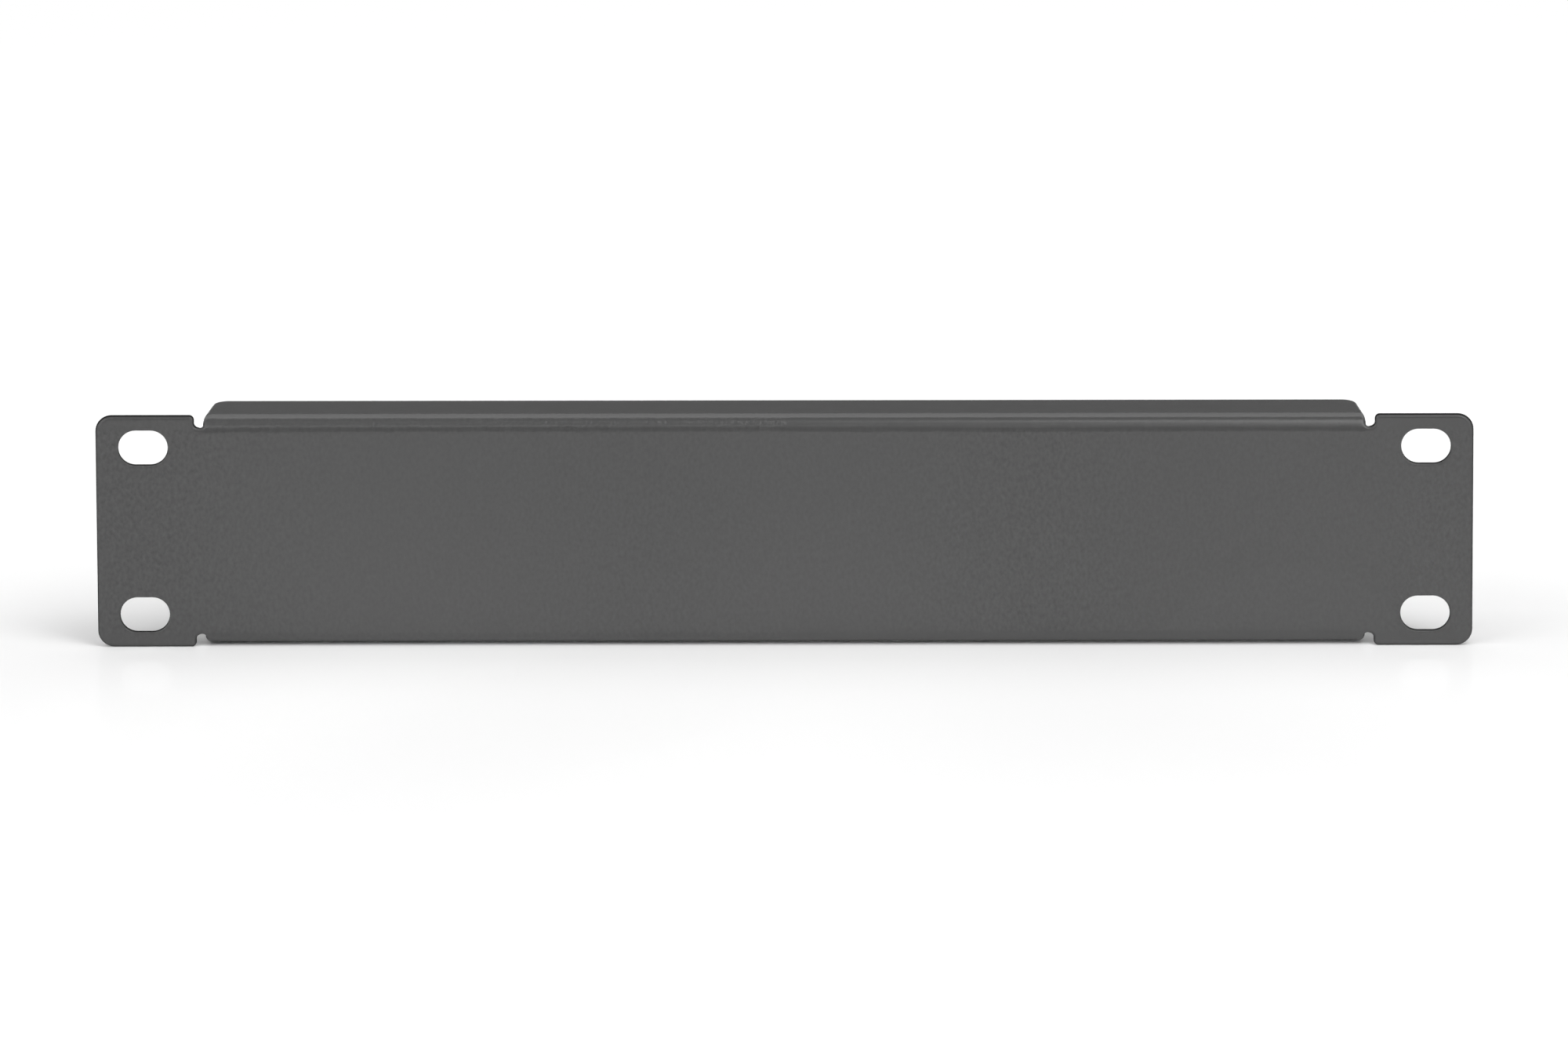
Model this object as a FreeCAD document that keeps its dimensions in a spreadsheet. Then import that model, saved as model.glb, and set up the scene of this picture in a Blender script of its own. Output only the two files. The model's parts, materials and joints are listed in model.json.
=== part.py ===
"""Blanking panel for a 10 inch equipment rack, one rack unit high.

One piece of steel sheet: a flat face that ends in an ear at each side, with a stiffening flange folded
back along the top and the bottom between the ears. A relief notch parts each end of a fold from the ear
beside it. Each ear has two horizontal slots for the rack screws. The cut edges are rounded in front.

Frame: X along the panel, Y from the front to the rear, Z up. The origin is the centre of the four slots,
on the rear of the face, which is the plane that seats on the rack rails.
"""

import FreeCAD, Part
import math
import os

import Sketcher

NODE = "blanking_panel"

# Driving dimensions, in millimetres and degrees: alias, value, what it is.
SIZES = (
    ("slot_pitch_x", 236.525, "between the slots of the two ears, centre to centre"),
    ("slot_pitch_z", 31.75, "between the two slots of one ear, centre to centre"),
    ("slot_width", 6.5, "height of a slot, also the diameter of its round ends"),
    ("slot_travel", 2.6, "between the centres of a slot's two round ends"),
    ("end_margin", 8.7375, "from a slot's centre to the end of the panel"),
    ("edge_margin", 6.125, "from a slot's centre to the upper or lower edge of its ear"),
    ("notch_margin", 9.4625, "from a slot's centre to the notch beside its ear"),
    ("ear_corner_radius", 3.0, "outer corners of the ears"),
    ("ear_notch_radius", 0.8, "corners of the ears beside the notches"),
    ("sheet_thickness", 1.2, "of the steel sheet, with its coating"),
    ("fold_radius", 0.8, "inner radius of both folds"),
    ("flange_inset", 0.35, "from the edge of an ear in to the outside of a flange"),
    ("flange_depth", 13.7, "from the front face to the rear edge of a flange"),
    ("flange_taper", 8.5, "degrees by which both ends of a flange lean inwards"),
    ("flange_shoulder_radius", 4.0, "where the taper of a flange begins"),
    ("flange_corner_radius", 4.5, "rear corners of a flange"),
    ("notch_width", 1.8, "between an ear and the end of a fold"),
    ("notch_overrun", 0.1, "how far a notch reaches past the start of the fold"),
    ("notch_corner_radius", 0.6, "bottom corners of a notch"),
    ("outer_edge_round", 0.5, "rounding of the cut edges on the outer skin"),
    ("inner_edge_chamfer", 0.2, "easing of the cut edges on the inner skin"),
)

# What follows from the driving dimensions: alias, formula, what it is.
DERIVED = (
    ("slot_x", "slot_pitch_x / 2", "slot centre, from the middle of the panel"),
    ("slot_z", "slot_pitch_z / 2", "slot centre, from the middle of the panel"),
    ("panel_end", "slot_x + end_margin", "end of the panel"),
    ("ear_edge", "slot_z + edge_margin", "upper edge of the ears"),
    ("ear_start", "slot_x - notch_margin", "inner side of an ear"),
    ("notch_middle", "ear_start - notch_width / 2", "middle of a notch"),
    ("fold_end", "ear_start - notch_width", "end of a fold, across the notch from the ear"),
    ("fold_outer_radius", "fold_radius + sheet_thickness", "outer radius of both folds"),
    ("flange_outside", "ear_edge - flange_inset", "height of the outer skin of a flange"),
    ("flange_inside", "flange_outside - sheet_thickness", "height of the inner skin of a flange"),
    ("fold_start", "flange_outside - fold_outer_radius", "where the face turns into the fold"),
    ("notch_bottom", "fold_start - notch_overrun", "bottom of a notch"),
    ("flange_rear", "flange_depth - sheet_thickness", "rear edge of a flange"),
    ("taper_length", "flange_rear - fold_radius", "from the end of the fold to the rear edge"),
    ("flange_corner", "fold_end - taper_length * tan(flange_taper * 1 deg)", "rear corner of a flange"),
    ("cut_margin", "sheet_thickness", "how far a cut runs on past the metal"),
    ("depth_cut", "2 * (flange_depth + cut_margin)", "length of a cut from front to rear"),
    ("height_cut", "2 * (ear_edge + cut_margin)", "length of a cut from top to bottom"),
)

NEAR = 1e-4  # millimetres within which two places are the same

# Points of a sketch: those of a line or an arc, and the sketch's own origin.
START, END, CENTRE = 1, 2, 3
ORIGIN = (-1, 1)

DOWN, RIGHT, UP, LEFT = (math.radians(angle) for angle in (-90, 0, 90, 180))

DRESSING_SIZE = {"Fillet": "Radius", "Chamfer": "Size"}  # the property that holds the size of each


# ------------------------------------------------------------------ spreadsheet


def add_sizes(doc):
    """The spreadsheet: the driving dimensions as plain numbers, then what follows from them."""
    sheet = doc.addObject("Spreadsheet::Sheet", "Sizes")
    rows = [(alias, str(value), text) for alias, value, text in SIZES]
    rows += [(alias, "=" + formula, text) for alias, formula, text in DERIVED]
    for row, (alias, content, text) in enumerate(rows, start=1):
        sheet.set(f"A{row}", text)
        sheet.set(f"B{row}", content)
        sheet.setAlias(f"B{row}", alias)
    doc.recompute()
    return sheet


# ------------------------------------------------------------------ sketches


def origin_plane(body, role):
    return next(item for item in body.Origin.OriginFeatures if item.Role == role)


def add_sketch(body, name, role):
    """An empty sketch on one of the body's own origin planes."""
    sketch = body.newObject("Sketcher::SketchObject", name)
    sketch.AttachmentSupport = [(origin_plane(body, role), "")]
    sketch.MapMode = "FlatFace"
    return sketch


def value_of(sketch, formula):
    """The number that a formula in the spreadsheet's names has at present."""
    return float(sketch.evalExpression(formula))


def point_at(sketch, across, up):
    return FreeCAD.Vector(value_of(sketch, across), value_of(sketch, up), 0)


def add_line(sketch, start, end):
    """A line between two points, each a pair of formulas. Returns its number in the sketch."""
    line = Part.LineSegment(point_at(sketch, *start), point_at(sketch, *end))
    return sketch.addGeometry(line, False)


def add_arc(sketch, centre, radius, first, last):
    """An arc that turns anticlockwise from one direction to another. Returns its number."""
    circle = Part.Circle(point_at(sketch, *centre), FreeCAD.Vector(0, 0, 1), value_of(sketch, radius))
    return sketch.addGeometry(Part.ArcOfCircle(circle, first, last), False)


def constrain(sketch, kind, *places):
    sketch.addConstraint(Sketcher.Constraint(kind, *places))


def dimension(sketch, kind, formula, *places):
    """A dimension that stays bound to the spreadsheet."""
    index = sketch.addConstraint(Sketcher.Constraint(kind, *places, value_of(sketch, formula)))
    sketch.setExpression(f"Constraints[{index}]", formula)


def put(sketch, geometry, point, across, up):
    """Holds a point at two distances from the sketch's origin."""
    dimension(sketch, "DistanceX", across, *ORIGIN, geometry, point)
    dimension(sketch, "DistanceY", up, *ORIGIN, geometry, point)


def add_rectangle(sketch, left, right, bottom, top):
    """An upright rectangle with its four sides given as formulas."""
    lower = add_line(sketch, (left, bottom), (right, bottom))
    end = add_line(sketch, (right, bottom), (right, top))
    upper = add_line(sketch, (right, top), (left, top))
    side = add_line(sketch, (left, top), (left, bottom))
    for line, following in ((lower, end), (end, upper), (upper, side), (side, lower)):
        constrain(sketch, "Coincident", line, END, following, START)
    for line in (lower, upper):
        constrain(sketch, "Horizontal", line)
    for line in (end, side):
        constrain(sketch, "Vertical", line)
    put(sketch, lower, START, left, bottom)
    put(sketch, upper, START, right, top)


def draw_fold(sketch):
    """Section of a fold and its flange: across is to the rear. It starts square on the face."""
    centre = ("Sizes.fold_radius", "Sizes.fold_start")
    outer = add_arc(sketch, centre, "Sizes.fold_outer_radius", UP, LEFT)
    inner = add_arc(sketch, centre, "Sizes.fold_radius", UP, LEFT)
    outside = ("Sizes.fold_radius", "Sizes.flange_outside")
    rear_outside = ("Sizes.flange_rear", "Sizes.flange_outside")
    rear_inside = ("Sizes.flange_rear", "Sizes.flange_inside")
    inside = ("Sizes.fold_radius", "Sizes.flange_inside")
    skin = add_line(sketch, outside, rear_outside)
    edge = add_line(sketch, rear_outside, rear_inside)
    lining = add_line(sketch, rear_inside, inside)
    root = add_line(sketch, ("0", "Sizes.fold_start"), ("-Sizes.sheet_thickness", "Sizes.fold_start"))

    constrain(sketch, "Tangent", outer, START, skin, START)
    constrain(sketch, "Coincident", skin, END, edge, START)
    constrain(sketch, "Coincident", edge, END, lining, START)
    constrain(sketch, "Tangent", inner, START, lining, END)
    constrain(sketch, "Coincident", inner, END, root, START)
    constrain(sketch, "Coincident", root, END, outer, END)
    constrain(sketch, "Coincident", outer, CENTRE, inner, CENTRE)
    for line in (skin, lining, root):
        constrain(sketch, "Horizontal", line)
    constrain(sketch, "Vertical", edge)
    put(sketch, outer, CENTRE, *centre)
    dimension(sketch, "Radius", "Sizes.fold_outer_radius", outer)
    dimension(sketch, "Radius", "Sizes.fold_radius", inner)
    dimension(sketch, "DistanceX", "Sizes.flange_rear", *ORIGIN, edge, START)
    dimension(sketch, "DistanceY", "Sizes.fold_start", *ORIGIN, root, START)


def draw_notch(sketch):
    """A relief notch with two round bottom corners, open at the top."""
    near, far = "Sizes.fold_end", "Sizes.ear_start"
    bottom, top = "Sizes.notch_bottom", "Sizes.ear_edge + Sizes.cut_margin"
    radius = "Sizes.notch_corner_radius"
    near_centre, far_centre = f"{near} + {radius}", f"{far} - {radius}"
    shoulder = f"{bottom} + {radius}"
    near_side = add_line(sketch, (near, top), (near, shoulder))
    near_corner = add_arc(sketch, (near_centre, shoulder), radius, LEFT, LEFT + UP)
    floor = add_line(sketch, (near_centre, bottom), (far_centre, bottom))
    far_corner = add_arc(sketch, (far_centre, shoulder), radius, DOWN, RIGHT)
    far_side = add_line(sketch, (far, shoulder), (far, top))
    mouth = add_line(sketch, (far, top), (near, top))

    path = (near_side, near_corner, floor, far_corner, far_side)
    for piece, following in zip(path, path[1:]):
        constrain(sketch, "Tangent", piece, END, following, START)
    constrain(sketch, "Coincident", far_side, END, mouth, START)
    constrain(sketch, "Coincident", mouth, END, near_side, START)
    for line in (floor, mouth):
        constrain(sketch, "Horizontal", line)
    for line in (near_side, far_side):
        constrain(sketch, "Vertical", line)
    for corner in (near_corner, far_corner):
        dimension(sketch, "Radius", radius, corner)
    put(sketch, mouth, END, near, top)
    dimension(sketch, "DistanceX", far, *ORIGIN, far_side, END)
    dimension(sketch, "DistanceY", bottom, *ORIGIN, floor, START)


def draw_flange_end(sketch):
    """What the taper takes off the end of a flange, in plan: across is outwards, up is to the rear."""
    front, rear = "Sizes.fold_radius", "Sizes.flange_rear + Sizes.cut_margin"
    near, far = "Sizes.fold_end", "Sizes.ear_start"
    near_rear = f"{near} - (Sizes.taper_length + Sizes.cut_margin) * tan(Sizes.flange_taper * 1 deg)"
    root = add_line(sketch, (near, front), (far, front))
    side = add_line(sketch, (far, front), (far, rear))
    back = add_line(sketch, (far, rear), (near_rear, rear))
    taper = add_line(sketch, (near_rear, rear), (near, front))
    for line, following in ((root, side), (side, back), (back, taper), (taper, root)):
        constrain(sketch, "Coincident", line, END, following, START)
    for line in (root, back):
        constrain(sketch, "Horizontal", line)
    constrain(sketch, "Vertical", side)
    put(sketch, root, START, near, front)
    put(sketch, side, END, far, rear)
    dimension(sketch, "DistanceX", near_rear, *ORIGIN, taper, START)


def draw_slot(sketch):
    """A horizontal slot with round ends."""
    radius = "Sizes.slot_width / 2"
    near_centre = ("Sizes.slot_x - Sizes.slot_travel / 2", "Sizes.slot_z")
    far_centre = ("Sizes.slot_x + Sizes.slot_travel / 2", "Sizes.slot_z")
    top, bottom = f"Sizes.slot_z + {radius}", f"Sizes.slot_z - {radius}"
    far_end = add_arc(sketch, far_centre, radius, DOWN, UP)
    upper = add_line(sketch, (far_centre[0], top), (near_centre[0], top))
    near_end = add_arc(sketch, near_centre, radius, UP, UP + LEFT)
    lower = add_line(sketch, (near_centre[0], bottom), (far_centre[0], bottom))
    for piece, following in ((far_end, upper), (upper, near_end), (near_end, lower), (lower, far_end)):
        constrain(sketch, "Tangent", piece, END, following, START)
    constrain(sketch, "Horizontal", upper)
    constrain(sketch, "Equal", far_end, near_end)
    dimension(sketch, "Radius", radius, far_end)
    dimension(sketch, "DistanceX", "Sizes.slot_travel", near_end, CENTRE, far_end, CENTRE)
    put(sketch, near_end, CENTRE, *near_centre)


# ------------------------------------------------------------------ features


def add_pad(body, name, sketch, length, symmetric=False):
    """Adds metal along the sketch's normal, or to both sides of it."""
    pad = body.newObject("PartDesign::Pad", name)
    pad.Profile = sketch
    pad.SideType = "Symmetric" if symmetric else "One side"
    pad.setExpression("Length", length)
    return pad


def add_cut(body, name, sketch, length):
    """Cuts the sketch out of the metal over the given length, half of it on each side of the sketch."""
    before = body.Shape.Volume
    pocket = body.newObject("PartDesign::Pocket", name)
    pocket.Profile = sketch
    pocket.Type = "Length"
    pocket.SideType = "Symmetric"
    pocket.setExpression("Length", length)
    body.Document.recompute()
    if not pocket.Shape.Volume < before:
        raise RuntimeError(f"{name} cuts nothing")
    return pocket


def add_mirrors(body, name, originals, roles):
    """Repeats features on the other side of each of the given planes in turn."""
    mirrors = body.newObject("PartDesign::MultiTransform", name)
    steps = []
    for role in roles:
        step = body.newObject("PartDesign::Mirrored", f"{name}{role[:2]}")
        step.MirrorPlane = (origin_plane(body, role), [""])
        steps.append(step)
    mirrors.Originals = originals
    mirrors.Transformations = steps
    body.Tip = mirrors
    body.Document.recompute()
    return mirrors


def dress_edges(body, kind, name, size, chosen):
    """A fillet or a chamfer on the edges of the body so far for which chosen(edge) is true."""
    base = body.Tip
    edges = [f"Edge{number}" for number, edge in enumerate(base.Shape.Edges, start=1) if chosen(edge)]
    if not edges:
        raise RuntimeError(f"{name} finds no edges")
    dressing = body.newObject(f"PartDesign::{kind}", name)
    dressing.Base = (base, edges)
    dressing.setExpression(DRESSING_SIZE[kind], size)
    body.Document.recompute()


# ------------------------------------------------------------------ finding edges


def same(first, second):
    return abs(first - second) < NEAR


def centred_at(edge, **place):
    """True if the middle of the edge has the given coordinates, whatever their sign."""
    return all(same(abs(getattr(edge.CenterOfMass, axis)), distance) for axis, distance in place.items())


def skin_of(face, sizes):
    """Which skin of the sheet a face belongs to: outer, inner, or none for a cut edge."""
    points = [vertex.Point for vertex in face.Vertexes]
    skins = (
        ("outer", -sizes.sheet_thickness, sizes.flange_outside, sizes.fold_outer_radius),
        ("inner", 0, sizes.flange_inside, sizes.fold_radius),
    )
    for skin, face_y, flange_z, fold_radius in skins:
        on_face = all(same(point.y, face_y) for point in points)
        on_flange = all(same(abs(point.z), flange_z) for point in points)
        on_fold = (
            isinstance(face.Surface, Part.Cylinder)
            and same(abs(face.Surface.Axis.x), 1)
            and same(face.Surface.Radius, fold_radius)
        )
        if on_face or on_flange or on_fold:
            return skin
    return None


def bounds_skin(edge, shape, skin, sizes):
    """True if the edge parts the given skin of the sheet from a cut edge."""
    sides = {skin_of(face, sizes) for face in shape.ancestorsOfType(edge, Part.Face)}
    return sides == {skin, None}


# ------------------------------------------------------------------ the panel


def fold_sheet(body):
    """The flat face, then the flanges folded back along its top and bottom, as far as the notches."""
    outline = add_sketch(body, "FaceOutline", "XZ_Plane")
    add_rectangle(outline, "-Sizes.panel_end", "Sizes.panel_end", "-Sizes.ear_edge", "Sizes.ear_edge")
    add_pad(body, "Face", outline, "Sizes.sheet_thickness")
    body.Document.recompute()

    gap_outline = add_sketch(body, "GapOutline", "XZ_Plane")
    gap_top = "Sizes.ear_edge + Sizes.cut_margin"
    add_rectangle(gap_outline, "-Sizes.notch_middle", "Sizes.notch_middle", "Sizes.fold_start", gap_top)
    gap = add_cut(body, "GapBetweenEars", gap_outline, "Sizes.depth_cut")

    section = add_sketch(body, "FoldSection", "YZ_Plane")
    draw_fold(section)
    fold = add_pad(body, "UpperFold", section, "2 * Sizes.notch_middle", symmetric=True)
    add_mirrors(body, "LowerFold", [gap, fold], ["XY_Plane"])


def cut_sheet(body):
    """A notch and a slot at each of the four corners, and the tapered ends of both flanges."""
    notch_outline = add_sketch(body, "NotchOutline", "XZ_Plane")
    draw_notch(notch_outline)
    notch = add_cut(body, "Notch", notch_outline, "Sizes.depth_cut")

    slot_outline = add_sketch(body, "SlotOutline", "XZ_Plane")
    draw_slot(slot_outline)
    slot = add_cut(body, "Slot", slot_outline, "Sizes.depth_cut")
    add_mirrors(body, "FourCorners", [notch, slot], ["YZ_Plane", "XY_Plane"])

    taper_outline = add_sketch(body, "TaperOutline", "XY_Plane")
    draw_flange_end(taper_outline)
    taper = add_cut(body, "FlangeEnds", taper_outline, "Sizes.height_cut")
    add_mirrors(body, "OtherFlangeEnds", [taper], ["YZ_Plane"])


def round_corners(body, sizes):
    """The corners of the outline: those of the ears, then those of the flanges."""
    places = (
        ("EarCorners", "Sizes.ear_corner_radius", {"x": sizes.panel_end, "z": sizes.ear_edge}),
        ("EarNotchCorners", "Sizes.ear_notch_radius", {"x": sizes.ear_start, "z": sizes.ear_edge}),
        ("FlangeShoulders", "Sizes.flange_shoulder_radius", {"x": sizes.fold_end, "y": sizes.fold_radius}),
        ("FlangeCorners", "Sizes.flange_corner_radius", {"x": sizes.flange_corner, "y": sizes.flange_rear}),
    )
    for name, radius, place in places:
        dress_edges(body, "Fillet", name, radius, lambda edge: centred_at(edge, **place))


def finish_edges(body, sizes):
    """The cut edges: rounded all along the outer skin, and eased a little along the inner one."""
    finishes = (
        ("outer", "Fillet", "OuterEdges", "Sizes.outer_edge_round"),
        ("inner", "Chamfer", "InnerEdges", "Sizes.inner_edge_chamfer"),
    )
    for skin, kind, name, size in finishes:
        shape = body.Tip.Shape
        dress_edges(body, kind, name, size, lambda edge: bounds_skin(edge, shape, skin, sizes))


def check(doc, body):
    """Stops if any feature failed, any sketch is loose or the panel isn't one sound solid."""
    for item in doc.Objects:
        if "Invalid" in item.State or "Error" in item.State:
            raise RuntimeError(f"{item.Name} failed: {item.State}")
        if item.isDerivedFrom("Sketcher::SketchObject") and not item.FullyConstrained:
            raise RuntimeError(f"{item.Name} isn't fully constrained")
    shape = body.Shape
    if shape.isNull() or not shape.isValid() or len(shape.Solids) != 1:
        raise RuntimeError("the panel isn't one valid solid")


def main():
    doc = FreeCAD.newDocument("BlankingPanel")
    sizes = add_sizes(doc)
    body = doc.addObject("PartDesign::Body", "Panel")
    body.Label = NODE
    fold_sheet(body)
    cut_sheet(body)
    round_corners(body, sizes)
    finish_edges(body, sizes)
    body.Placement = FreeCAD.Placement()
    doc.recompute()
    check(doc, body)

    os.makedirs("parts", exist_ok=True)
    body.Shape.exportStep(f"parts/{body.Label}.step")
    box = body.Shape.optimalBoundingBox(False)
    print(f"{body.Label}: {box.XLength:.2f} x {box.YLength:.2f} x {box.ZLength:.2f} mm, "
          f"{body.Shape.Volume:.0f} mm3, {len(body.Shape.Faces)} faces")


main()
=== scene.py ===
"""The looks of the rack blanking panel: a folded steel sheet under a dark grey powder coat.

The coated sheet is meshed flat, with its slots, notches and rounded edges, and then folded. It stands on a
pale polished table under soft studio lights, seen by a long lens from the front and a little above.
The panel's lengths are in millimetres until they go to Blender. The studio's lengths are in metres.
"""

import json
import math

import bpy
import numpy as np
from mathutils import Matrix, Vector, geometry, kdtree, noise


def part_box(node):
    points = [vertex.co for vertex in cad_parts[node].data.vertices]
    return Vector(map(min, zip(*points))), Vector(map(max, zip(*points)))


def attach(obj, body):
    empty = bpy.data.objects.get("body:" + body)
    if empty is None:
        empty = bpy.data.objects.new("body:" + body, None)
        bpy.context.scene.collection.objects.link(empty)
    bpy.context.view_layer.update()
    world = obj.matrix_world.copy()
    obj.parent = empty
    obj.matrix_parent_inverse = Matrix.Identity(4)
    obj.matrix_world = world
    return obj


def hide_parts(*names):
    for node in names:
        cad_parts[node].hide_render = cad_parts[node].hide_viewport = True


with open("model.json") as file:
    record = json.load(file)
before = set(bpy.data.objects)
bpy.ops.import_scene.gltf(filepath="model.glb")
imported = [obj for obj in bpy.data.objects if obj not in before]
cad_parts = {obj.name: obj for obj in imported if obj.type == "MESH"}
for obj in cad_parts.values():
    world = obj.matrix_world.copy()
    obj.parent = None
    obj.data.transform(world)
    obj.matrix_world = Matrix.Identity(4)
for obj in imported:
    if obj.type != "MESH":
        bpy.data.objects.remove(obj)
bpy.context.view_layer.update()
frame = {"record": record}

NODE = "blanking_panel"
MM = 0.001

# ------------------------------------------------------------------ sizes of the panel

LOW, HIGH = (np.array(corner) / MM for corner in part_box(NODE))
SLOTS = next(mount for mount in frame["record"]["mounts"] if mount["name"] == "rack_slots")["dims"]

PANEL_END, EAR_EDGE = HIGH[0], HIGH[2]
FRONT, FLANGE_REAR = LOW[1], HIGH[1]
SHEET = -FRONT
SLOT_X, SLOT_Z = SLOTS["spacing_x_mm"] / 2, SLOTS["spacing_y_mm"] / 2
SLOT_RADIUS, SLOT_HALF_LENGTH = SLOTS["hole_r_mm"], SLOTS["slot_length_mm"] / 2

EAR_START = 108.8
FOLD_END = 107.15
NOTCH_BOTTOM = 19.8
FLANGE_TOP = 21.65
BEND_RADIUS = 3.0
FLANGE_TAPER = math.radians(7.4)
TAPER_START = 0.5  # how far round the bend the taper starts, from 0 to 1

# Corners of the flat outline.
EAR_CORNER, EAR_NOTCH_CORNER, NOTCH_CORNER = 3.0, 0.9, 0.7
SHOULDER_CORNER, FLANGE_CORNER = 4.0, 3.0
SLOT_CORNER_SHARE = 0.98  # of the slot's radius, so that two corners don't quite meet

# Rounding of the cut edges. That of a slot is narrower than that of the outline, by a factor.
OUTER_ROUND, INNER_ROUND, SLOT_EDGE = 0.75, 0.25, 0.45

LEAST_BEND = 1e-6  # share of the curvature left in a flat ear, so that nothing is divided by zero
BEND_START = FLANGE_TOP - BEND_RADIUS
BEND_LENGTH = BEND_RADIUS * math.pi / 2
FLANGE_START = FRONT + BEND_RADIUS
BLANK_TOP = BEND_START + BEND_LENGTH + FLANGE_REAR - FLANGE_START

# ------------------------------------------------------------------ sizes of the mesh

EDGE_STEP, OUTER_STEP, INNER_STEP = 0.6, 0.66, 1.1
CORNER_STEP, CORNER_PIECES = math.radians(9), 3
OUTER_RINGS, INNER_RINGS = 6, 4
FIRST_DRY_RING = 3
GRID_CLEARANCE = 0.6  # from the outline, in steps of the grid
SAME_POINT = 1e-6
MERGE_DISTANCE = 1e-7


# ------------------------------------------------------------------ the flat blank


def rounded_loop(corners, step):
    """Points along a closed outline and the direction into the metal at each.

    A corner is (x, y, radius), and the metal is on the left of the way round.
    """
    points, inward = [], []
    count = len(corners)
    for index, (x, y, radius) in enumerate(corners):
        here = np.array((x, y))
        before = np.array(corners[index - 1][:2]) - here
        after = np.array(corners[(index + 1) % count][:2]) - here
        arriving = -before / np.linalg.norm(before)
        leaving = after / np.linalg.norm(after)
        turn = math.atan2(arriving[0] * leaving[1] - arriving[1] * leaving[0], arriving @ leaving)
        side = math.copysign(1, turn)
        reach = radius * math.tan(abs(turn) / 2)
        start = here - arriving * reach
        to_metal = np.array((-arriving[1], arriving[0]))
        centre = start + side * radius * to_metal
        if index:
            fill_line(points, inward, start, step)
        pieces = max(CORNER_PIECES, math.ceil(abs(turn) * radius / step), math.ceil(abs(turn) / CORNER_STEP))
        for piece in range(pieces + 1):
            angle = turn * piece / pieces
            cosine, sine = math.cos(angle), math.sin(angle)
            normal = np.array(
                (cosine * to_metal[0] - sine * to_metal[1], sine * to_metal[0] + cosine * to_metal[1])
            )
            add_point(points, inward, centre - side * radius * normal, normal)
    fill_line(points, inward, points[0], step)
    return np.array(points), np.array(inward)


def add_point(points, inward, point, normal):
    if not points or np.linalg.norm(point - points[-1]) > SAME_POINT:
        points.append(point)
        inward.append(normal)


def fill_line(points, inward, end, step):
    """Points along the straight from the last one to the given end, without that end."""
    start, normal = points[-1], inward[-1]
    pieces = max(1, math.ceil(np.linalg.norm(end - start) / step))
    for piece in range(1, pieces):
        add_point(points, inward, start + (end - start) * piece / pieces, normal)


def blank_corners():
    """The outline of the blank, anticlockwise. Its height is measured along the outer skin."""
    taper_height = BLANK_TOP - (BEND_START + BEND_LENGTH * TAPER_START)
    quarter = (
        (PANEL_END, EAR_EDGE, EAR_CORNER),
        (EAR_START, EAR_EDGE, EAR_NOTCH_CORNER),
        (EAR_START, NOTCH_BOTTOM, NOTCH_CORNER),
        (FOLD_END, NOTCH_BOTTOM, NOTCH_CORNER),
        (FOLD_END, BLANK_TOP - taper_height, SHOULDER_CORNER),
        (FOLD_END - taper_height * math.tan(FLANGE_TAPER), BLANK_TOP, FLANGE_CORNER),
    )
    upper_left = [(-x, y, radius) for x, y, radius in reversed(quarter)]
    lower_left = [(-x, -y, radius) for x, y, radius in quarter]
    lower_right = [(x, -y, radius) for x, y, radius in reversed(quarter)]
    return [*quarter, *upper_left, *lower_left, *lower_right]


def slot_corners(x, z):
    """A slot with round ends, clockwise, because the metal is outside it."""
    half, radius = SLOT_HALF_LENGTH, SLOT_RADIUS
    corner = radius * SLOT_CORNER_SHARE
    return [
        (x - half, z - radius, corner),
        (x - half, z + radius, corner),
        (x + half, z + radius, corner),
        (x + half, z - radius, corner),
    ]


def inside(points, loops):
    """Which points lie in the metal: inside an odd number of the loops."""
    odd = np.zeros(len(points), bool)
    for loop in loops:
        for (x0, y0), (x1, y1) in zip(loop, np.roll(loop, -1, axis=0)):
            if y0 != y1:
                crosses = (points[:, 1] >= min(y0, y1)) & (points[:, 1] < max(y0, y1))
                odd ^= crosses & (points[:, 0] < x0 + (points[:, 1] - y0) * (x1 - x0) / (y1 - y0))
    return odd


def distance_finder(points):
    """A function that gives the distance from a place on the blank to the nearest of the points."""
    tree = kdtree.KDTree(len(points))
    for index, point in enumerate(points):
        tree.insert((*point, 0), index)
    tree.balance()
    return lambda place: tree.find((*place, 0))[2]


def skin_points(loops, step):
    """An even triangular grid over the metal that keeps clear of the loops."""
    row = step * math.sqrt(3) / 2
    edge = np.concatenate(loops)
    to_edge = distance_finder(edge)
    (left, bottom), (right, top) = edge.min(0), edge.max(0)
    grid = [
        (x + (step / 2 if line % 2 else 0), y)
        for line, y in enumerate(np.arange(bottom, top, row))
        for x in np.arange(left, right, step)
    ]
    grid = np.array(grid)
    grid = grid[inside(grid, loops)]
    clear = [to_edge(point) > step * GRID_CLEARANCE for point in grid]
    return grid[np.array(clear)]


def fill_skin(loops, step):
    """Triangles over the metal: all points, the loops' own first, and the corners of each triangle."""
    points = np.concatenate([*loops, skin_points(loops, step)])
    edges, first = [], 0
    for loop in loops:
        numbers = range(first, first + len(loop))
        edges += list(zip(numbers, [*numbers[1:], first]))
        first += len(loop)
    found = geometry.delaunay_2d_cdt([Vector(point) for point in points], edges, [], 0, MERGE_DISTANCE)
    merged, triangles = found[0], np.array(found[2])
    if len(merged) != len(points):
        raise RuntimeError("the outline of the blank crosses itself")
    return points, triangles[inside(points[triangles].mean(1), loops)]


# ------------------------------------------------------------------ folding


def smooth_step(value):
    value = np.clip(value, 0, 1)
    return value * value * (3 - 2 * value)


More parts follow.
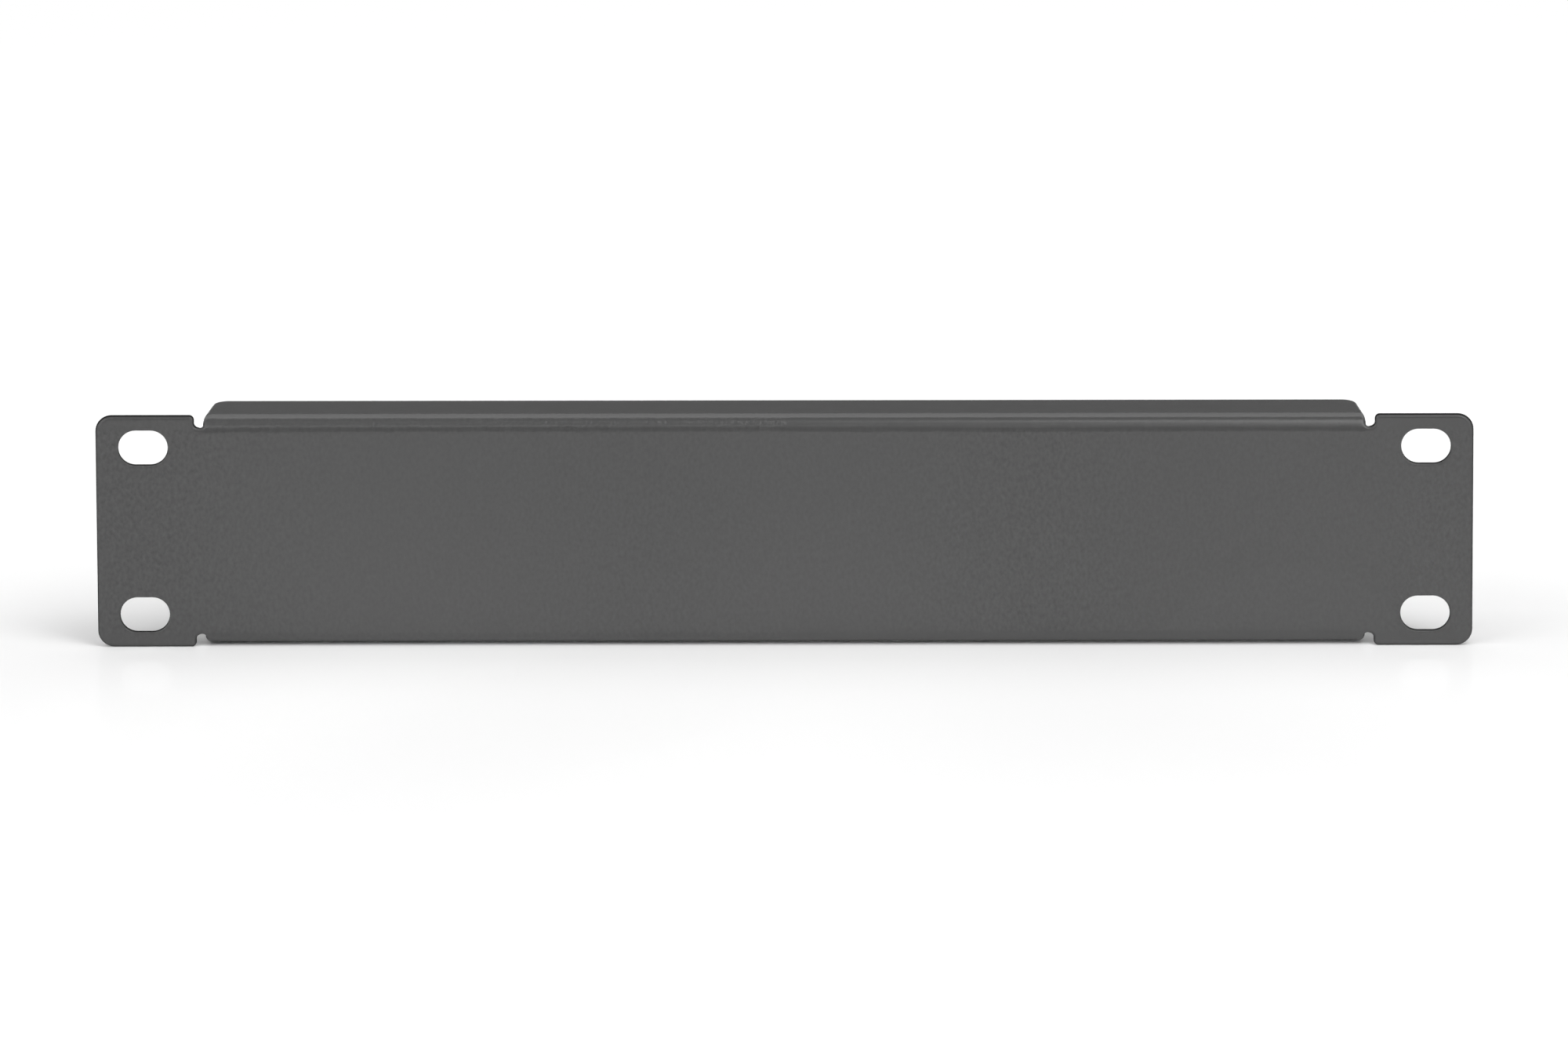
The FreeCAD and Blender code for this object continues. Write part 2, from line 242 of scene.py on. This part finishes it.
def fold(blank, depth):
    """Takes points of the blank, at a depth below the outer skin, to the folded panel.

    Gives their places and the direction out of the metal there.
    """
    x, height = blank[:, 0], np.abs(blank[:, 1])
    upward = np.where(blank[:, 1] < 0, -1.0, 1.0)
    share = 1 - smooth_step((np.abs(x) - FOLD_END) / (EAR_START - FOLD_END))
    curvature = np.maximum(share, LEAST_BEND) / BEND_RADIUS
    along = height - BEND_START
    angle = np.clip(along, 0, BEND_LENGTH) * curvature
    beyond = np.maximum(along - BEND_LENGTH, 0)
    sine, cosine = np.sin(angle), np.cos(angle)
    y = FRONT + (1 - cosine) / curvature + beyond * sine + depth * cosine
    z = BEND_START + np.minimum(along, 0) + sine / curvature + beyond * cosine - depth * sine
    return np.column_stack((x, y, upward * z)), np.column_stack((0 * x, -cosine, upward * sine))


# ------------------------------------------------------------------ orange peel

PEEL_HEIGHT = 0.05
PEEL_MARGIN, PEEL_FADE = 0.4, 1.2  # smooth coat along a cut edge, and how far the peel takes to rise
DRIFT_SIZE, DRIFT_REACH = 9, 1.5
COARSE_WIDTH, COARSE_HEIGHT = 1.9, 2.5
FINE_WIDTH, FINE_HEIGHT, FINE_SHARE = 1.05, 1.3, 0.35
DRIFT_PLANE, FINE_PLANE = 5.5, 2.5  # where the noise is cut, beyond the seed
OUTER_SEED, INNER_SEED = 0.5, 20.5

# How strong the peel is: on the face with its patches (centre, spread, share), folds and flanges.
FACE_PEEL, FLANGE_PEEL = 0.35, 0.22
LEFT_FOLD_PEEL, RIGHT_FOLD_PEEL = 0.4, 0.12
TO_FOLD_RATE, TO_FLANGE_RATE = 4, 2.5  # how fast it changes round the bend, from one to the next
PEEL_PATCHES = ((-120, 26, 0.65), (-25, 16, 0.15), (44, 16, 0.55), (122, 10, 0.3))

# A mask over the outer half of a cut edge: it darkens the coat's colour there as a painted shade, and makes
# the coat rougher.
RIM_MASK_START, RIM_MASK_FALL = 1.3, 2.6


def peel(blank, seed):
    """Height of the orange peel over the blank, from about -1 to 1."""
    heights = []
    for x, y in blank:
        drift = noise.noise((x / DRIFT_SIZE, y / DRIFT_SIZE, seed + DRIFT_PLANE)) * DRIFT_REACH
        coarse = noise.noise((x / COARSE_WIDTH + drift, y / COARSE_HEIGHT - drift, seed))
        fine = noise.noise((x / FINE_WIDTH - drift, y / FINE_HEIGHT, seed + FINE_PLANE))
        heights.append(coarse + FINE_SHARE * fine)
    return np.array(heights)


def coat_texture(blank):
    """How strong the orange peel is: most at the left end and right of the middle. It also sets how strongly
    the peel's shading is painted into the colour.
    """
    x, along = blank[:, 0], np.abs(blank[:, 1])
    face = FACE_PEEL
    for centre, spread, share in PEEL_PATCHES:
        face = face + share * np.exp(-(((x - centre) / spread) ** 2))
    bent = np.clip((along - BEND_START) / BEND_LENGTH, 0, 1)
    bend = np.where(x < 0, LEFT_FOLD_PEEL, RIGHT_FOLD_PEEL)
    lower_half = face + (bend - face) * smooth_step(bent * TO_FOLD_RATE)
    upper_half = bend + (FLANGE_PEEL - bend) * smooth_step(bent * TO_FLANGE_RATE - 1)
    return np.where(bent < 0.5, lower_half, upper_half)


# ------------------------------------------------------------------ the sheet


def edge_profile():
    """Steps over a cut edge, from the outer skin to the inner one: how far into the metal, and how deep."""
    outer_angles = np.linspace(0, math.pi / 2, OUTER_RINGS)
    inner_angles = np.linspace(0, math.pi / 2, INNER_RINGS)
    profile = [(OUTER_ROUND * (1 - math.sin(a)), OUTER_ROUND * (1 - math.cos(a))) for a in outer_angles]
    profile += [
        (INNER_ROUND * (1 - math.cos(a)), SHEET - INNER_ROUND * (1 - math.sin(a))) for a in inner_angles
    ]
    return profile


def edge_faces(sizes, starts, first_face):
    """Faces between the rings over the cut edges, and the numbers of those with a dry coat.

    The sizes are of the outlines, which make up each ring, and the starts are the rings' first points.
    """
    faces, dry_faces = [], []
    offset = 0
    for size in sizes:
        for ring, (upper, lower) in enumerate(zip(starts, starts[1:])):
            if FIRST_DRY_RING <= ring < OUTER_RINGS:
                first = first_face + len(faces)
                dry_faces += range(first, first + size)
            for k in range(size):
                this, following = offset + k, offset + (k + 1) % size
                faces.append((upper + this, lower + this, lower + following, upper + following))
        offset += size
    return faces, dry_faces


def build_sheet():
    """The folded and coated sheet: vertices in metres, faces, dry faces, and values at the vertices."""
    corners = [blank_corners()]
    corners += [slot_corners(x, z) for x in (-SLOT_X, SLOT_X) for z in (-SLOT_Z, SLOT_Z)]
    outlines = [rounded_loop(loop, EDGE_STEP) for loop in corners]
    widths = [1.0] + [SLOT_EDGE] * (len(corners) - 1)

    def inset(distance):
        return [points + inward * distance * width for (points, inward), width in zip(outlines, widths)]

    profile = edge_profile()
    outer_points, outer_faces = fill_skin(inset(profile[0][0]), OUTER_STEP)
    inner_points, inner_faces = fill_skin(inset(profile[-1][0]), INNER_STEP)
    sizes = [len(points) for points, _ in outlines]
    ring_size = sum(sizes)
    inner_first = len(outer_points)
    rings_first = inner_first + len(inner_points)

    blank = [outer_points, inner_points]
    depth = [np.zeros(inner_first), np.full(len(inner_points), SHEET)]
    # A mask along the cut edges, for a painted shade in the colour and more roughness.
    rim_mask = [np.zeros(rings_first)]
    for distance, down in profile[1:-1]:
        blank.append(np.concatenate(inset(distance)))
        depth.append(np.full(ring_size, down))
        rim_mask.append(np.full(ring_size, smooth_step(RIM_MASK_START - RIM_MASK_FALL * distance / OUTER_ROUND)))
    blank, depth = np.concatenate(blank), np.concatenate(depth)

    faces = [tuple(face) for face in outer_faces]
    faces += [tuple(face[::-1] + inner_first) for face in inner_faces]
    starts = [0] + [rings_first + ring_size * k for k in range(len(profile) - 2)] + [inner_first]
    side_faces, dry_faces = edge_faces(sizes, starts, len(faces))

    relief = np.zeros(len(blank))
    relief[:inner_first] = peel(outer_points, OUTER_SEED)
    relief[inner_first:rings_first] = -peel(inner_points, INNER_SEED)
    to_edge = distance_finder(np.concatenate(inset(0)))
    for index in range(rings_first):
        relief[index] *= smooth_step((to_edge(blank[index]) - PEEL_MARGIN) / PEEL_FADE)
    texture = coat_texture(blank)
    place, outward = fold(blank, depth)
    place += outward * (relief * texture * PEEL_HEIGHT)[:, None]
    attributes = {"cut_edge": np.concatenate(rim_mask), "coat_texture": texture}
    return place * MM, faces + side_faces, dry_faces, attributes


# ------------------------------------------------------------------ materials

BASE_COLOUR = (0.065, 0.065, 0.065)
GLOSS, EDGE_GLOSS = 0.35, 0.0
STROKE_TURN, STROKE_SCALE = math.radians(12), (1.0, 1.0, 0.7)
# The peel's noise also darkens and lightens the colour: painted shading of the peel.
PEEL_NOISE_SCALE, PAINTED_PEEL_SHADE = 1550, 0.7
PATCH_SCALE, PATCH_SHADES = 28, (0.985, 1.015)
# Share of the colour left at the very cut edge: a painted shade.
PAINTED_RIM_SHADE = 0.25
ROUGHNESS_SCALE, ROUGHNESS = 320, (0.15, 0.21)
EDGE_ROUGHNESS = 0.4
GRAIN_SCALE, GRAIN_SHARE = 4200, 0.1
BUMP_DISTANCE = 0.00017
NOISE_LOW, NOISE_HIGH = 0.3, 0.7  # a noise texture seldom leaves this range


class NodeTree:
    """The nodes of a material or world, added one by one."""

    def __init__(self, owner):
        owner.use_nodes = True
        self.tree = owner.node_tree
        self.tree.nodes.clear()

    def add(self, kind, inputs, **settings):
        """A node. The value of an input is a constant, or the output of another node."""
        made = self.tree.nodes.new("ShaderNode" + kind)
        for setting, value in settings.items():
            setattr(made, setting, value)
        for entry, value in inputs.items():
            if isinstance(value, bpy.types.NodeSocket):
                self.tree.links.new(value, made.inputs[entry])
            else:
                made.inputs[entry].default_value = value
        return made.outputs

    def math(self, operation, *values):
        return self.add("Math", dict(enumerate(values)), operation=operation)["Value"]

    def ramp(self, value, low, high, first, last, interpolation="LINEAR"):
        """Goes from first to last as the value goes from low to high."""
        inputs = {"Value": value, "From Min": low, "From Max": high, "To Min": first, "To Max": last}
        return self.add("MapRange", inputs, interpolation_type=interpolation)["Result"]

    def mix(self, share, first, second):
        return self.add("MixShader", {"Fac": share, 1: first, 2: second})["Shader"]

    def seen_rays(self):
        """One for rays from the camera, by a mirror or through glass, and zero for light."""
        path = self.add("LightPath", {})
        shown = self.math("MAXIMUM", path["Is Camera Ray"], path["Is Glossy Ray"])
        return self.math("MAXIMUM", shown, path["Is Transmission Ray"])


def powder_coat(name, gloss):
    """Dark grey powder coat with a fine orange peel, whose shading is partly painted into the colour. Near
    the cut edges the coat is rougher, and a painted shade darkens its colour.
    """
    material = bpy.data.materials.new(name)
    tree = NodeTree(material)
    place = tree.add("TexCoord", {})["Object"]
    strokes = tree.add("Mapping", {"Vector": place, "Rotation": (0, STROKE_TURN, 0), "Scale": STROKE_SCALE})

    def texture(scale, detail):
        return tree.add("TexNoise", {"Vector": strokes["Vector"], "Scale": scale, "Detail": detail})["Fac"]

    strength = tree.add("Attribute", {}, attribute_name="coat_texture")["Fac"]
    edge = tree.add("Attribute", {}, attribute_name="cut_edge")["Fac"]

    # Painted shading of the peel: the colour follows the peel's noise, as strongly as coat_texture gives.
    peel_noise = texture(PEEL_NOISE_SCALE, 2.0)
    painted_peel_shading = tree.math("MULTIPLY", tree.math("SUBTRACT", peel_noise, 0.5), strength)
    shade = tree.math("MULTIPLY_ADD", painted_peel_shading, PAINTED_PEEL_SHADE, 1.0)
    patches = tree.ramp(texture(PATCH_SCALE, 2.0), NOISE_LOW, NOISE_HIGH, *PATCH_SHADES)
    # Painted shade: the colour darkens towards the cut edges.
    painted_rim_shade = tree.ramp(edge, 0.0, 1.0, 1.0, PAINTED_RIM_SHADE)
    shaded = tree.math("MULTIPLY", tree.math("MULTIPLY", shade, patches), painted_rim_shade)
    colour = tree.add("VectorMath", {0: BASE_COLOUR, "Scale": shaded}, operation="SCALE")["Vector"]

    smooth = tree.ramp(texture(ROUGHNESS_SCALE, 3.0), NOISE_LOW, NOISE_HIGH, *ROUGHNESS)
    roughness = tree.math("MULTIPLY_ADD", edge, EDGE_ROUGHNESS, smooth)

    height = tree.math("MULTIPLY_ADD", texture(GRAIN_SCALE, 1.0), GRAIN_SHARE, peel_noise)
    relief = tree.math("MULTIPLY", height, strength)
    bump = tree.add("Bump", {"Strength": 1.0, "Distance": BUMP_DISTANCE, "Height": relief})["Normal"]

    coat = {"Specular IOR Level": gloss, "Base Color": colour, "Roughness": roughness, "Normal": bump}
    tree.add("OutputMaterial", {"Surface": tree.add("BsdfPrincipled", coat)["BSDF"]})
    return material


# ------------------------------------------------------------------ the panel


def add_object(name, vertices, faces, materials):
    mesh = bpy.data.meshes.new(name)
    mesh.from_pydata(vertices, [], faces)
    for material in materials:
        mesh.materials.append(material)
    made = bpy.data.objects.new(name, mesh)
    bpy.context.scene.collection.objects.link(made)
    return made


vertices, faces, dry_faces, attributes = build_sheet()
coats = [powder_coat("powder_coat", GLOSS), powder_coat("powder_coat_cut_edge", EDGE_GLOSS)]
panel = add_object("coated_sheet", vertices.tolist(), faces, coats)
panel.data.polygons.foreach_set("use_smooth", [True] * len(faces))
for index in dry_faces:
    panel.data.polygons[index].material_index = 1
for attribute, values in attributes.items():
    panel.data.attributes.new(attribute, "FLOAT", "POINT").data.foreach_set("value", values)
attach(panel, "root")
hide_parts(NODE)

# ------------------------------------------------------------------ the table

FLOOR_HEIGHT = LOW[2] * MM
FLOOR_REACH, BACKDROP_REACH = 4.0, 3.9
FLOOR_COLOUR = (0.87, 0.87, 0.87, 1)
MIRROR_ROUGHNESS, MIRROR_SHARE, MIRROR_REACH = 0.03, 0.06, 0.15

# Behind the panel the floor glows for the camera: a little from close behind it, and more further back.
NEAR_GLOW, NEAR_REACH = 0.1, 0.025
BACK_GLOW, BACK_REACH = 0.25, 0.4

# Between these distances the floor fades to plain white for the camera.
WHITE_START, WHITE_END = 0.25, 0.6


def square(reach, height):
    """The corners of a level square round the origin."""
    return [(x, y, height) for x, y in ((-reach, -reach), (reach, -reach), (reach, reach), (-reach, reach))]


def floor_material():
    """Pale table top that mirrors the panel faintly near its foot."""
    material = bpy.data.materials.new("pale_table")
    tree = NodeTree(material)
    place = tree.add("TexCoord", {})["Object"]
    back = tree.add("SeparateXYZ", {"Vector": place})["Y"]
    seen = tree.seen_rays()

    rise = tree.ramp(back, 0.0, BACK_REACH, 0.0, BACK_GLOW)
    near = tree.ramp(back, 0.0, NEAR_REACH, 0.0, NEAR_GLOW)
    glow = tree.add("Emission", {"Strength": tree.math("MULTIPLY", tree.math("ADD", rise, near), seen)})
    lit = tree.add("BsdfDiffuse", {"Color": FLOOR_COLOUR})
    pale = tree.add("AddShader", {0: lit["BSDF"], 1: glow["Emission"]})

    mirror = tree.add("BsdfGlossy", {"Roughness": MIRROR_ROUGHNESS})
    fade = tree.ramp(tree.math("ABSOLUTE", back), 0.0, MIRROR_REACH, MIRROR_SHARE, 0.0)
    polished = tree.mix(fade, pale["Shader"], mirror["BSDF"])

    distance = tree.add("VectorMath", {0: place}, operation="LENGTH")["Value"]
    far = tree.ramp(distance, WHITE_START, WHITE_END, 0.0, 1.0, "SMOOTHSTEP")
    white = tree.add("Emission", {"Strength": 1.0})["Emission"]
    tree.add("OutputMaterial", {"Surface": tree.mix(tree.math("MULTIPLY", far, seen), polished, white)})
    return material


floor = add_object("table", square(FLOOR_REACH, FLOOR_HEIGHT), [(0, 1, 2, 3)], [floor_material()])

# ------------------------------------------------------------------ the studio


def direction(elevation, azimuth):
    """A unit vector from the panel. Azimuth 0 is in front, and an elevation over a right angle is behind."""
    level = math.cos(elevation)
    return Vector((math.sin(azimuth) * level, -math.cos(azimuth) * level, math.sin(elevation)))


def add_softbox(name, angles, distance, size, radiance, across=0.0, lift=0.0, turn=0.0):
    """A rectangular light turned to the panel, from an elevation and azimuth in degrees.

    It may then be moved across or up, and turned in its own plane.
    """
    light = bpy.data.lights.new(name, "AREA")
    light.shape = "RECTANGLE"
    light.size, light.size_y = size
    light.energy = radiance * math.pi * size[0] * size[1]
    elevation, azimuth = (math.radians(angle) for angle in angles)
    back = direction(elevation, azimuth)
    facing = Vector((1, 0, 0)) if azimuth == 0 else Vector((0, 0, 1)).cross(back).normalized()
    upright = Matrix((facing, back.cross(facing), back)).transposed()
    lamp = bpy.data.objects.new(name, light)
    lamp.rotation_euler = (upright @ Matrix.Rotation(math.radians(turn), 3, "Z")).to_euler()
    lamp.location = back * distance + Vector((across, 0, lift))
    bpy.context.scene.collection.objects.link(lamp)
    return lamp


def add_walls(name, reach, low, high, radiance, roof):
    """Four glowing walls round the table, hidden from the camera."""
    material = bpy.data.materials.new(name)
    tree = NodeTree(material)
    tree.add("OutputMaterial", {"Surface": tree.add("Emission", {"Strength": radiance})["Emission"]})
    corners = square(reach, FLOOR_HEIGHT + low) + square(reach, FLOOR_HEIGHT + high)
    sides = [(0, 1, 5, 4), (1, 2, 6, 5), (2, 3, 7, 6), (3, 0, 4, 7)]
    walls = add_object(name, corners, sides + [(4, 5, 6, 7)] * roof, [material])
    walls.visible_camera = False
    return walls


def light_only(receiver, lights):
    """The lights and glowing walls that only one object receives."""
    receivers = bpy.data.collections.new(receiver.name + "_only")
    receivers.objects.link(receiver)
    for light in lights:
        light.light_linking.receiver_collection = receivers


# Lights in front: the two large ones light the face, and the rest shade it and pick out its peel.
add_softbox("left_softbox", (25, -55), 1.5, (1.2, 1.2), 2.1)
add_softbox("right_softbox", (25, 55), 1.5, (1.2, 1.2), 2.1)
left_strip = add_softbox("left_strip", (12, -79), 0.5, (0.08, 0.3), 3.6)
left_strip.visible_glossy = False
add_softbox("low_strip", (40, -6), 1.3, (0.8, 0.05), 6.5, across=-0.35)

# Narrow lights that brighten three places of the face.
GRID_ELEVATION, GRID_DISTANCE, GRID_SIZE, GRID_LIFT = 14, 0.9, (0.04, 0.04), -0.026
GRID_SPREAD = math.radians(6)
for name, turned, across, radiance in (
    ("left_grid", -38, -0.06, 0.45),
    ("centre_grid", -12, 0.015, 0.3),
    ("right_grid", 38, 0.09, 0.42),
):
    grid = add_softbox(name, (GRID_ELEVATION, turned), GRID_DISTANCE, GRID_SIZE, radiance, across, GRID_LIFT)
    grid.data.spread = GRID_SPREAD

# Lights above, which the fold mirrors: its lower bright line is on the right only.
add_softbox("front_softbox", (65, 0), 1.2, (0.9, 0.58), 3.2, across=0.52, turn=12)
add_softbox("low_softbox", (43, 0), 1.25, (0.9, 0.36), 1.2, across=0.54, turn=12)
add_softbox("overhead_fill", (60, 0), 1.25, (2.0, 1.3), 0.3)

# Lights behind, which the upper part of the fold and the flange mirror.
top_softbox = add_softbox("top_softbox", (112, 0), 1.2, (1.8, 0.42), 1.8)
middle_softbox = add_softbox("middle_softbox", (132, 0), 1.2, (1.8, 0.43), 0.9)
rear_softbox = add_softbox("rear_softbox", (150, 0), 1.2, (1.8, 0.3), 0.4)
wash = add_softbox("backdrop_wash", (158, 0), 1.2, (1.8, 0.5), 0.8)
wash.visible_glossy = False
table_light = add_softbox("table_light", (98, 0), 1.8, (2.4, 2.4), 0.9)

# The panel mirrors a dim studio, and the table mirrors the pale backdrop.
add_walls("studio_walls", FLOOR_REACH, low=-0.01, high=4.0, radiance=0.1, roof=True)
backdrop = add_walls("backdrop", BACKDROP_REACH, low=0.2, high=2.2, radiance=1.0, roof=False)
backdrop.visible_diffuse = False
rear_card = add_softbox("rear_card", (165, 0), 1.5, (3.0, 0.9), 0.1)
back_left = add_softbox("back_left_softbox", (25, -125), 1.2, (0.9, 0.9), 0.9)
back_right = add_softbox("back_right_softbox", (25, 125), 1.2, (0.9, 0.9), 0.9)

light_only(floor, [backdrop, table_light])
light_only(panel, [top_softbox, middle_softbox, rear_softbox, wash, rear_card, back_left, back_right])

# The world is plain white for the camera and dimmer as a light.
AMBIENT_STRENGTH = 0.35
world = bpy.data.worlds.new("studio")
bpy.context.scene.world = world
sky = NodeTree(world)
ambient = sky.add("Background", {"Strength": AMBIENT_STRENGTH})["Background"]
white = sky.add("Background", {"Color": (1, 1, 1, 1), "Strength": 1.0})["Background"]
sky.add("OutputWorld", {"Surface": sky.mix(sky.seen_rays(), ambient, white)})

# ------------------------------------------------------------------ camera

VIEW_AZIMUTH, VIEW_ELEVATION, VIEW_ROLL = (math.radians(angle) for angle in (0.59, 14.305, -0.228))
VIEW_DISTANCE = 3.0
VIEW_TARGET = Vector((-0.101, 0, 1.315)) * MM

back = direction(VIEW_ELEVATION, VIEW_AZIMUTH)
right = Vector((math.cos(VIEW_AZIMUTH), math.sin(VIEW_AZIMUTH), 0))
up = right.cross(-back)
tilted_right = right * math.cos(VIEW_ROLL) + up * math.sin(VIEW_ROLL)
tilted_up = up * math.cos(VIEW_ROLL) - right * math.sin(VIEW_ROLL)
aim = Matrix((tilted_right, tilted_up, back)).transposed().to_4x4()
lens = bpy.data.cameras.new("long_lens")
lens.sensor_width, lens.lens = 36, 373.14
lens.clip_end = 50
camera = bpy.data.objects.new("long_lens", lens)
camera.matrix_world = Matrix.Translation(VIEW_TARGET + back * VIEW_DISTANCE) @ aim
bpy.context.scene.collection.objects.link(camera)
bpy.context.scene.camera = camera
bpy.context.scene.view_settings.view_transform = "Standard"
